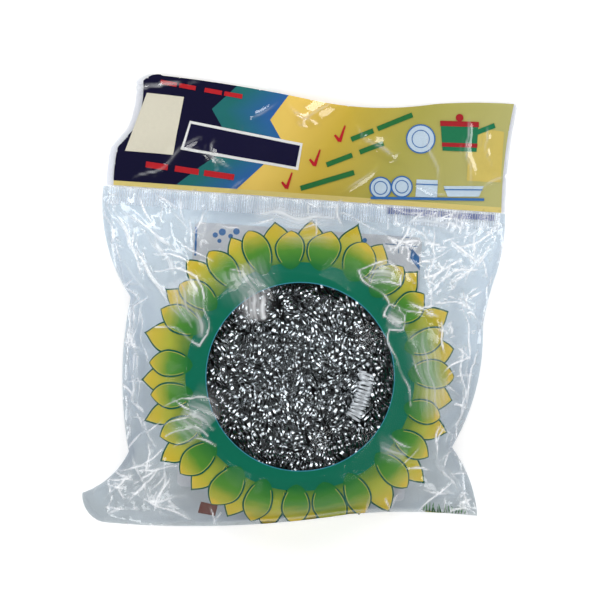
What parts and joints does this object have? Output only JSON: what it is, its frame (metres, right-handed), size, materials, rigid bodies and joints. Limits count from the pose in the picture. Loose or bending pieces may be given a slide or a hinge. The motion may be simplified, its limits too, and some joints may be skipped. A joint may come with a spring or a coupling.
{
  "type": "pot scrubber",
  "caption": "Curled stainless steel scourer sealed in a clear film bag with a printed folding header, a ring of printed petals and a card behind the pad.",
  "frame": {"origin": "on the bag's flat back, straight under the middle of the round window", "axes": "+X to the right of the bag as it is read, +Y up to the header, +Z out of the bag's front"},
  "size_m": [0.1481, 0.1536, 0.0369],
  "materials": {
    "clear_film": "gloss",
    "welded_film": "gloss",
    "crimped_film": "satin",
    "header_front_print": "gloss",
    "header_back_print": "gloss",
    "card": "matte",
    "steel_tangle": "satin",
    "steel_ribbon": "satin"
  },
  "bodies": {
    "bag": {"back_film": "clear_film", "front_film": "clear_film", "side_weld_left": "welded_film", "side_weld_right": "welded_film", "mouth_seal": "crimped_film", "insert_card": "card", "scourer_core": "steel_tangle", "scourer_strand": "steel_ribbon", "loose_strand_end": "steel_ribbon"},
    "header": {"header_back_leaf": "header_back_print", "header_front_leaf": "header_front_print", "header_weld_left": "welded_film", "header_weld_right": "welded_film"}
  },
  "joints": [
    {"name": "header_fold", "type": "hinge", "parent": "bag", "child": "header", "pos_m": [0, 0.06, 0.001], "axis": [0.9976, -0.0698, 0], "range_deg": [0, 110]}
  ]
}
